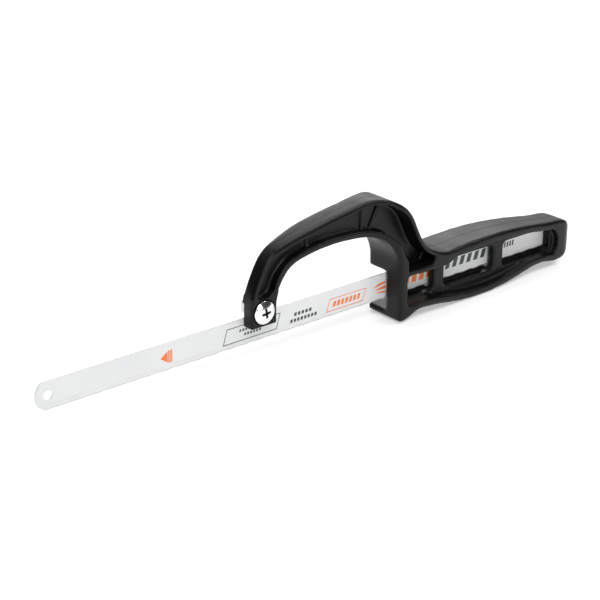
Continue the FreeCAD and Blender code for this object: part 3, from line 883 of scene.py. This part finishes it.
    def seam_rays(self) -> list[tuple[Vector, Vector]]:
        """Rays from outside towards the moulding, in its middle plane, from the foot round the tail.

        Returns:
            Each ray's start and direction, in metres.
        """
        rays = []
        far = 90.0
        bend = (self.box.low[0] + self.arm_bend, self.bend_up)
        tail = (self.box.high[0] - self.tail_radius, -3.0)
        for degrees in range(176, 92, -3):
            rays.append(self.ray_to(bend, math.radians(degrees), far))
        for right in np.arange(bend[0], tail[0], self.seam_stride):
            rays.append((Vector((right, 0, far)) * MM, Vector((0, 0, -1))))
        for degrees in range(90, -91, -5):
            rays.append(self.ray_to(tail, math.radians(degrees), far))
        nose = self.box.high[0] - self.seam_back
        for right in np.arange(tail[0], nose, -self.seam_stride):
            rays.append((Vector((right, 0, -far)) * MM, Vector((0, 0, 1))))
        return rays

    def ray_to(self, centre: Pair, angle: float, far: float) -> tuple[Vector, Vector]:
        """A ray towards a centre of the middle plane from an angle."""
        outward = Vector((math.cos(angle), 0, math.sin(angle)))
        return (Vector((centre[0], 0, centre[1])) + outward * far) * MM, -outward

    def make_seam(self, shell: bpy.types.Object) -> bpy.types.Object:
        """The parting line where the two halves of the mould met.

        Args:
            shell: The moulded shell that it lies on.

        Returns:
            The thin ridge.
        """
        tree = BVHTree.FromObject(shell, bpy.context.evaluated_depsgraph_get())
        shape = [(-1.0, -self.seam_sink), (-0.75, self.seam_rise * 0.4), (0.0, self.seam_rise),
                 (0.75, self.seam_rise * 0.4), (1.0, -self.seam_sink)]
        rings = []
        for start, direction in self.seam_rays():
            place, normal, _, _ = tree.ray_cast(start, direction)
            if place is None:
                continue
            out = Vector((normal.x, 0, normal.z)).normalized()
            middle = place / MM
            rings.append(np.array([middle + out * rise + Vector((0, side * self.seam_half, 0))
                                   for side, rise in shape]))
        return make_object("parting_line", *skin(rings), sharp=70.0)


# ---------------------------------------------------------------- blade

@dataclass
class HacksawBlade:
    """The blade: painted back, toothed edge with its wavy set, and generic print marks."""

    back: Extent = field(default_factory=lambda: Extent.of("blade_back"))
    edge: Extent = field(default_factory=lambda: Extent.of("blade_tooth_edge"))
    pin_span: float = 300.0
    pin_hole: float = 4.0
    nose: float = 8.0
    edge_break: float = 0.07
    pitch: float = 1.058
    tooth: float = 0.7
    lean: float = 0.1
    set_out: float = 0.17
    set_wave: float = 8.5
    bend_share: float = 0.45
    bend_lean: float = 0.35
    tip_share: float = 0.92
    ink_height: float = 0.014
    stroke: float = 0.38

    def build(self) -> None:
        """Builds the blade's pieces and dresses them."""
        paint = PaintedSteel()
        ground = PaintedSteel(name="blade_ground_teeth", bare_from=self.edge.low[2] + self.tooth + 0.15,
                              bare_full=self.edge.low[2] + self.tooth - 0.25)
        orange = PrintInk(name="orange_print").material()
        dark = PrintInk(name="dark_print", colour=(0.028, 0.034, 0.034, 1.0),
                        thin=(0.07, 0.08, 0.08, 1.0)).material()
        fit_out(self.make_back(), Body.BLADE, paint.material(), ("blade_back",))
        fit_out(self.make_teeth(), Body.BLADE, ground.material(), ("blade_tooth_edge",))
        prints = (("orange", self.orange_marks(), orange), ("dark", self.dark_marks(), dark))
        for side in Side:
            for colour, marks, ink in prints:
                printed = self.make_print(f"{colour}_print_{side.name.lower()}", marks, side)
                fit_out(printed, Body.BLADE, ink)

    def half(self) -> float:
        """Half of the blade's thickness."""
        return self.back.size(1) / 2

    def back_outline(self, inset: float) -> list[Pair]:
        """The back's outline with rounded ends, moved inwards by an inset.

        Args:
            inset: How far inside the real outline it runs.

        Returns:
            Its (right, up) points.
        """
        top, low = self.back.high[2] - inset, self.back.low[2] + inset
        radius = self.nose - inset
        steps = 14
        points = []
        for centre, sign in ((self.back.high[0] - self.nose, 1), (self.back.low[0] + self.nose, -1)):
            first, last = (low, top) if sign > 0 else (top, low)
            start, end = math.asin(first / radius), math.asin(last / radius)
            for step in range(steps + 1):
                angle = start + (end - start) * step / steps
                points.append((centre + sign * radius * math.cos(angle), radius * math.sin(angle)))
        return points

    def make_back(self) -> bpy.types.Object:
        """The strip down to the weld, with broken edges and both pin holes.

        Returns:
            The piece.
        """
        half, soft = self.half(), self.edge_break
        layers = ((-half, soft), (-half + soft, 0.0), (half - soft, 0.0), (half, soft))
        rings = []
        for depth, inset in layers:
            rings.append(np.array([(right, depth, up) for right, up in self.back_outline(inset)]))
        back = make_object("blade_back_strip", *skin(rings), sharp=28.0)
        beyond, radius = 0.3, self.pin_hole / 2
        reach, flare = half + beyond, radius + beyond + soft
        profile = [(flare, -reach), (radius, -half + soft), (radius, half - soft), (flare, reach)]
        for place in (0.0, self.pin_span):
            tool = make_object("pin_hole_tool", *skin(Lathe(place, 0.0, steps=64).turned(profile)))
            cut_out(back, tool, sharp=28.0)
        return back

    def tooth_stations(self) -> list[Pair]:
        """The toothed line from end to end: gullets and tips in turn, leaning away from the handle.

        Returns:
            Its (right, up) points.
        """
        gullet = self.edge.low[2] + self.tooth
        inset = self.nose - math.sqrt(self.nose ** 2 - self.edge.low[2] ** 2)
        first = self.back.low[0] + inset
        last = self.back.high[0] - inset
        stations = [(self.edge.low[0], self.edge.high[2]), (first, gullet)]
        place = first + self.pitch
        while place < last - self.pitch:
            stations.append((place, gullet))
            stations.append((place + self.lean, self.edge.low[2]))
            place += self.pitch
        return stations + [(last, gullet), (self.edge.high[0], self.edge.high[2])]

    def set_at(self, right: float) -> float:
        """The wavy set: how far the teeth lean to the side at a place along the blade."""
        return self.set_out * math.sin(2 * math.pi * right / self.set_wave)

    def make_teeth(self) -> bpy.types.Object:
        """The toothed strip, its lower part bent from side to side in waves.

        Returns:
            The piece.
        """
        top, half = self.edge.high[2], self.half()
        rings = []
        for right, low in self.tooth_stations():
            aside, tip = self.set_at(right), half * self.tip_share
            bent, bend = aside * self.bend_lean, top - (top - low) * self.bend_share
            rings.append(np.array([(right, -half, top), (right, half, top), (right, half + bent, bend),
                                   (right, tip + aside, low), (right, -tip + aside, low),
                                   (right, -half + bent, bend)]))
        return make_object("blade_teeth", *skin(rings), sharp=25.0)

    def line(self, start: Pair, end: Pair, width: float) -> list[Pair]:
        """A straight stroke of ink.

        Args:
            start: One end.
            end: The other end.
            width: Its width.

        Returns:
            Its four corners.
        """
        along = np.array(end) - np.array(start)
        along = along / np.linalg.norm(along) * width / 2
        aside = np.array([-along[1], along[0]])
        first, last = np.array(start) - along, np.array(end) + along
        return [tuple(first - aside), tuple(last - aside), tuple(last + aside), tuple(first + aside)]

    def slanted_box(self, left: float, right: float, low: float, high: float, slant: float) -> list[Pair]:
        """A box whose upper side is moved to the right by a slant."""
        return [(left, low), (right, low), (right + slant, high), (left + slant, high)]

    def framed(self, left: float, right: float, low: float, high: float, slant: float) -> list[list[Pair]]:
        """The outline of a slanted box, as four strokes."""
        corners = self.slanted_box(left, right, low, high, slant)
        return [self.line(a, b, self.stroke) for a, b in zip(corners, corners[1:] + corners[:1])]

    def dashes(self, left: float, right: float, low: float, high: float, count: int,
               fill: float = 0.62, slant: float = 0.3) -> list[list[Pair]]:
        """A row of slanted dashes.

        Args:
            left: Start of the row.
            right: End of the row.
            low: Its lower edge.
            high: Its upper edge.
            count: How many dashes.
            fill: The inked share of each step.
            slant: How far the upper edge is moved to the right.

        Returns:
            One outline for each dash.
        """
        step = (right - left) / count
        return [self.slanted_box(left + step * turn, left + step * (turn + fill), low, high, slant)
                for turn in range(count)]

    def orange_marks(self) -> list[list[Pair]]:
        """The direction arrow, the framed row of dashes and the bands under the handle.

        Returns:
            One outline for each mark.
        """
        marks = [[(55.0, -0.2), (58.7, -2.9), (58.7, 2.4)]]
        for turn in range(3):
            left = 58.95 + turn * 0.8
            marks.append(self.slanted_box(left, left + 0.6, -3.1, 2.7, 0.0))
        marks += self.framed(147.4, 169.4, -3.9, 1.9, 2.0)
        marks += self.dashes(151.0, 168.2, -2.3, 0.4, 7, 0.66, 0.8)
        marks.append([(176.0, 0.2), (183.8, 1.4), (183.8, 2.4), (179.4, 2.0)])
        marks.append([(176.6, -1.2), (183.8, -1.4), (183.8, 0.3), (180.0, -0.3)])
        marks.append([(177.6, -2.6), (183.8, -3.6), (183.8, -2.5), (180.5, -2.3)])
        marks += self.dashes(186.2, 219.8, -3.0, 3.2, 7, 0.66, 0.9)
        return marks

    def dark_marks(self) -> list[list[Pair]]:
        """The framed field under the foot and the rows of small dashes.

        Returns:
            One outline for each mark.
        """
        rows = [(97.0, 112.0, 0.4, 1.6, 9), (99.6, 109.6, -1.9, -0.7, 6), (128.1, 139.0, -0.5, 1.1, 5, 0.66),
                (125.8, 142.0, -3.4, -1.8, 8, 0.66), (222.8, 252.0, -1.9, 2.6, 6, 0.58, 1.4),
                (260.2, 271.6, -0.6, 2.2, 6, 0.6, 0.4)]
        marks = self.framed(88.2, 117.9, -3.8, 3.3, 2.2)
        for row in rows:
            marks += self.dashes(*row)
        return marks

    def make_print(self, name: str, marks: list[list[Pair]], side: Side) -> bpy.types.Object:
        """Ink on one side of the blade.

        Args:
            name: The piece's name.
            marks: Outlines of the inked fields.
            side: The side that it is on.

        Returns:
            The piece.
        """
        under = side.value * self.half()
        over = side.value * (self.half() + self.ink_height)
        blocks = [skin([np.array([(right, depth, up) for right, up in outline]) for depth in (under, over)])
                  for outline in marks]
        return make_object(name, *joined(blocks), sharp=20.0)


# ---------------------------------------------------------------- clamp screw

@dataclass
class ClampScrew:
    """The clamp screw: a domed head with a cross recess, and a threaded shank."""

    box: Extent = field(default_factory=lambda: Extent.of("clamp_screw"))
    head_height: float = 3.4
    rim_height: float = 1.9
    flat: float = 1.4
    rim_round: float = 0.28
    shank: float = 2.48
    neck: float = 5.4
    cross_span: float = 2.45
    cross_half: float = 0.62
    cross_depth: float = 2.1
    cross_turn: float = 8.0
    axis_gap: float = 0.3
    run_in: float = 0.5
    point: float = 0.55
    thread: Thread = field(default_factory=Thread)
    rows_per_pitch: int = 10

    def build(self, finish: Finish) -> None:
        """Builds the head and the shank.

        Args:
            finish: The finish of both.
        """
        material = finish.material()
        head = fit_out(self.make_head(), Body.SCREW, material, ("clamp_screw",))
        self.darken_recess(head)
        fit_out(self.make_shank(), Body.SCREW, material)

    def darken_recess(self, head: bpy.types.Object) -> None:
        """Gives the faces inside the cross recess a near-black finish of painted shade.

        Args:
            head: The screw's head.
        """
        margin, skin_depth, facing_out = 0.1, 0.02, -0.93
        # Painted shade: a near-black material stands in for the shadow inside the cross recess.
        head.data.materials.append(PaintedRecessShade().material())
        for face in head.data.polygons:
            middle = face.center / MM
            depth = middle.y - self.box.low[1]
            reach = math.hypot(middle.x - self.box.middle(0), middle.z - self.box.middle(2))
            inside = reach < self.cross_span + margin and face.normal.y > facing_out
            face.material_index = int(inside and skin_depth < depth < self.cross_depth + margin)

    def lathe(self, steps: int = 96) -> Lathe:
        """The screw's axis."""
        return Lathe(self.box.middle(0), self.box.middle(2), steps)

    def head_profile(self) -> list[Pair]:
        """The head's profile from the middle of its dome to its seat, as (radius, depth) points.

        Returns:
            The profile.
        """
        top = self.box.low[1]
        reach = self.box.size(0) / 2
        rise = self.head_height - self.rim_height
        rim, seat, soft = top + rise, top + self.head_height, self.rim_round
        radius = math.hypot((reach ** 2 - self.flat ** 2 - rise ** 2) / (2 * rise), reach)
        centre = rim + math.sqrt(radius ** 2 - reach ** 2)
        profile = [(self.axis_gap, top), (self.flat * 0.8, top + 0.004)]
        for step in range(13):
            along = self.flat + (reach - soft - self.flat) * step / 12
            profile.append((along, centre - math.sqrt(radius ** 2 - along ** 2)))
        last = profile[-1][1]
        for step in range(1, 6):
            angle = math.pi / 2 * step / 5
            down = soft * 1.4 * (1 - math.cos(angle))
            profile.append((reach - soft + soft * math.sin(angle), last + down))
        profile += [(reach, seat - 0.25), (reach - 0.08, seat - 0.06), (reach - 0.25, seat)]
        return profile + [(self.shank + 0.3, seat), (self.shank, seat + 0.25), (self.axis_gap, seat + 0.3)]

    def cross(self, span: float, half: float, depth: float) -> np.ndarray:
        """One level of the cross recess.

        Args:
            span: From the axis to an arm's end.
            half: Half of an arm's width.
            depth: Place along Y.

        Returns:
            Its twelve corners.
        """
        corners = []
        for quarter in range(4):
            turn = math.radians(90 * quarter + self.cross_turn)
            for along, aside in ((half, -half), (span, -half), (span, half)):
                right = along * math.cos(turn) - aside * math.sin(turn)
                up = along * math.sin(turn) + aside * math.cos(turn)
                corners.append((self.box.middle(0) + right, depth, self.box.middle(2) + up))
        return np.array(corners)

    def make_head(self) -> bpy.types.Object:
        """The head with its recess.

        Returns:
            The piece.
        """
        head = make_object("screw_head", *skin(self.lathe().turned(self.head_profile())), sharp=38.0)
        top, span, half, depth = self.box.low[1], self.cross_span, self.cross_half, self.cross_depth
        levels = [self.cross(span * 1.06, half * 1.06, top - 0.3), self.cross(span, half, top + 0.05),
                  self.cross(span * 0.62, half * 0.8, top + depth * 0.7),
                  self.cross(half * 1.1, half * 0.5, top + depth)]
        cut_out(head, make_object("cross_tool", *skin(levels)), sharp=38.0)
        return head

    def make_shank(self) -> bpy.types.Object:
        """The shank: plain at its neck, threaded to its end.

        Returns:
            The piece.
        """
        lathe = self.lathe(64)
        start, end = self.box.low[1] + self.head_height - 0.1, self.box.high[1]
        threaded = start + self.neck
        rings = [lathe.ring(start, self.shank), lathe.ring(threaded - 0.4, self.shank)]
        count = int((end - threaded) / self.thread.pitch * self.rows_per_pitch)
        for row in range(count + 1):
            depth = threaded + (end - threaded) * row / count
            groove = self.thread.groove(lathe.angles(), depth) * self.thread.depth
            radius = self.shank - groove * min(1.0, (depth - threaded) / self.run_in)
            rings.append(lathe.ring(depth, np.minimum(radius, self.shank - self.point + (end - depth))))
        return make_object("screw_shank", *skin(rings), sharp=50.0)


# ---------------------------------------------------------------- nut and washer

@dataclass
class NutAndWasher:
    """The hex nut with its chamfers and inner thread, and the stamped washer under it."""

    nut: Extent = field(default_factory=lambda: Extent.of("clamp_nut"))
    washer: Extent = field(default_factory=lambda: Extent.of("clamp_washer"))
    bore: float = 2.56
    crest_depth: float = 0.34
    countersink: float = 0.35
    face_share: float = 0.965
    chamfer: float = 60.0
    thread_rows: int = 44
    washer_soft: float = 0.22
    washer_edge: float = 0.06
    thread: Thread = field(default_factory=Thread)

    def build(self, finish: Finish) -> None:
        """Builds both pieces.

        Args:
            finish: The finish of both.
        """
        material = finish.material()
        fit_out(self.make_nut(), Body.NUT, material, ("clamp_nut",))
        fit_out(self.make_washer(), Body.NUT, material, ("clamp_washer",))

    def hexagon(self, turn: np.ndarray) -> np.ndarray:
        """The hexagon's radius, with flats along +X and -X.

        Args:
            turn: Angles about the axis.

        Returns:
            A radius for each angle.
        """
        sixth = math.pi / 3
        off_flat = (turn - math.pi / 2 + sixth / 2) % sixth - sixth / 2
        return self.nut.size(0) / 2 / np.cos(off_flat)

    def make_nut(self) -> bpy.types.Object:
        """The nut, as one surface round its outside and back through its thread.

        Returns:
            The piece.
        """
        lathe = Lathe(self.nut.middle(0), self.nut.middle(2), 96)
        turn = lathe.angles()
        low, high = self.nut.low[1], self.nut.high[1]
        corner = self.hexagon(turn)
        face = self.nut.size(0) / 2 * self.face_share
        slope = math.tan(math.radians(self.chamfer))
        bevel = (self.nut.size(2) / 2 - face) / slope
        ends = [bevel * step / 5 for step in range(6)]
        depths = [low + end for end in ends] + [high - end for end in reversed(ends)]
        rings = []
        for depth in depths:
            cone = face + min(depth - low, high - depth) * slope
            rings.append(lathe.ring(depth, np.minimum(corner, cone)))
        for row in range(self.thread_rows + 1):
            depth = high - (high - low) * row / self.thread_rows
            thread = self.bore - self.crest_depth * (1 - self.thread.groove(turn, depth))
            mouth = self.bore + self.countersink - min(depth - low, high - depth)
            rings.append(lathe.ring(depth, np.maximum(thread, mouth)))
        return make_object("hex_nut", *skin(rings, looped=True), sharp=24.0)

    def make_washer(self) -> bpy.types.Object:
        """The stamped washer, rolled on the side that the punch came from.

        Returns:
            The piece.
        """
        lathe = Lathe(self.washer.middle(0), self.washer.middle(2), 96)
        low, high = self.washer.low[1], self.washer.high[1]
        outer, inner = self.washer.size(0) / 2, self.bore + 0.1
        soft, edge = self.washer_soft, self.washer_edge
        profile = [(inner, low + edge), (inner + edge, low), (outer - edge, low), (outer, low + edge)]
        angles = [math.pi / 2 * step / 4 for step in range(5)]
        arc = [(soft * math.cos(angle), soft * math.sin(angle)) for angle in angles]
        profile += [(outer - soft + along, high - soft + up) for along, up in arc]
        profile += [(inner + soft - along, high - soft + up) for along, up in reversed(arc)]
        return make_object("flat_washer", *skin(lathe.turned(profile), looped=True), sharp=30.0)


# ---------------------------------------------------------------- studio

@dataclass(frozen=True)
class Softbox:
    """A rectangular light: where it stands and its size, in metres, and its power in watts."""

    name: str
    place: Place
    wide: float
    tall: float
    power: float


@dataclass
class Studio:
    """Pale floor, soft lights and the camera."""

    softboxes: tuple[Softbox, ...] = (
        Softbox("key_softbox", (-0.30, -0.70, 1.00), 0.45, 0.45, 5.0),
        Softbox("top_softbox", (0.55, 0.35, 0.90), 0.55, 0.30, 1.8),
        Softbox("rear_softbox", (0.78, 0.80, 0.50), 0.70, 0.30, 1.6),
        Softbox("front_fill", (0.10, -1.00, 0.25), 0.35, 0.30, 2.4),
        Softbox("edge_light", (0.75, -0.42, 0.78), 0.28, 0.18, 2.0))
    floor_reach: float = 6.0
    floor_gap: float = 0.05
    camera_place: Place = (-0.2755, -0.4995, 0.2821)
    camera_look: Place = (0.58019, 0.71273, -0.39420)
    lens: float = 92.9
    lens_shift: Pair = (0.0022, 0.0025)
    sky_light: float = 0.60
    room_light: float = 0.05
    dim_under: float = 0.40
    bright_over: float = 0.85
    backdrop_light: float = 0.75
    backdrop_from: float = 0.30
    backdrop_full: float = 0.65

    def build(self) -> None:
        """Builds the floor, the lights and the camera."""
        self.make_floor()
        self.make_world()
        for softbox in self.softboxes:
            self.make_light(softbox)
        self.make_camera()

    def make_floor(self) -> None:
        """A wide floor just under the object, with a gently rolled edge."""
        level = CAD_BOX[0].z / MM - self.floor_gap
        turn = Lathe(0.0, 0.0, steps=72).angles()
        rings = []
        for share, drop in ((0.2, 0.0), (0.6, 0.0), (0.98, 0.0), (1.0, 4.0)):
            reach = share * self.floor_reach / MM
            rings.append(np.stack([reach * np.cos(turn), reach * np.sin(turn),
                                   np.full(len(turn), level - drop)], axis=1))
        floor = make_object("studio_floor", *skin(rings), sharp=60.0)
        floor.data.materials.append(PaleFloor().material())

    def make_world(self) -> None:
        """Light from overhead and from a backdrop, in a dim room that looks plain white where it is seen."""
        world = bpy.data.worlds.new("studio_world")
        world.use_nodes = True
        world.node_tree.nodes.clear()
        wiring = Wiring(world.node_tree)
        direction = wiring.add("TexCoord").outputs["Generated"]
        height = wiring.add("SeparateXYZ", {0: direction}).outputs["Z"]
        overhead = wiring.spread(height, self.dim_under, self.bright_over, self.room_light, self.sky_light)
        away = wiring.add("VectorMath", {0: direction, 1: self.camera_look}, operation="DOT_PRODUCT")
        backdrop = wiring.spread(away.outputs["Value"], self.backdrop_from, self.backdrop_full, 0.0,
                                 self.backdrop_light)
        light = wiring.maths("MAXIMUM", overhead, backdrop)
        seen = wiring.add("LightPath").outputs["Is Camera Ray"]
        strength = wiring.maths("MAXIMUM", light, seen)
        background = wiring.add("Background", {"Strength": strength, "Color": (1.0, 1.0, 1.0, 1.0)})
        wiring.add("OutputWorld", {"Surface": background.outputs[0]})
        bpy.context.scene.world = world
        bpy.context.scene.view_settings.view_transform = "Standard"

    def make_light(self, softbox: Softbox) -> None:
        """Makes a softbox that faces the middle of the object.

        Args:
            softbox: Its sizes.
        """
        data = bpy.data.lights.new(softbox.name, "AREA")
        data.shape = "RECTANGLE"
        data.size, data.size_y, data.energy = softbox.wide, softbox.tall, softbox.power
        light = bpy.data.objects.new(softbox.name, data)
        light.location = softbox.place
        middle = (CAD_BOX[0] + CAD_BOX[1]) / 2
        light.rotation_euler = (middle - Vector(softbox.place)).to_track_quat("-Z", "Y").to_euler()
        bpy.context.scene.collection.objects.link(light)

    def make_camera(self) -> None:
        """The camera, level and with a long lens."""
        data = bpy.data.cameras.new("studio_camera")
        data.lens = self.lens
        data.shift_x, data.shift_y = self.lens_shift
        data.sensor_width = 36.0
        data.clip_start = 0.01
        camera = bpy.data.objects.new("studio_camera", data)
        camera.location = self.camera_place
        camera.rotation_euler = Vector(self.camera_look).to_track_quat("-Z", "Y").to_euler()
        bpy.context.scene.collection.objects.link(camera)
        bpy.context.scene.camera = camera


def main() -> None:
    """Builds the saw and its studio."""
    logging.basicConfig(level=logging.INFO, format="%(message)s")
    EffectGroups().build()
    MouldedFrame().build(MouldedPlastic())
    HacksawBlade().build()
    ClampScrew().build(PlatedSteel(name="polished_nickel"))
    NutAndWasher().build(PlatedSteel(name="zinc_plate", colour=(0.66, 0.68, 0.70, 1.0),
                                     cloud=(0.58, 0.59, 0.58, 1.0), gloss_low=0.24, gloss_high=0.36))
    Studio().build()


if __name__ == "__main__":
    main()
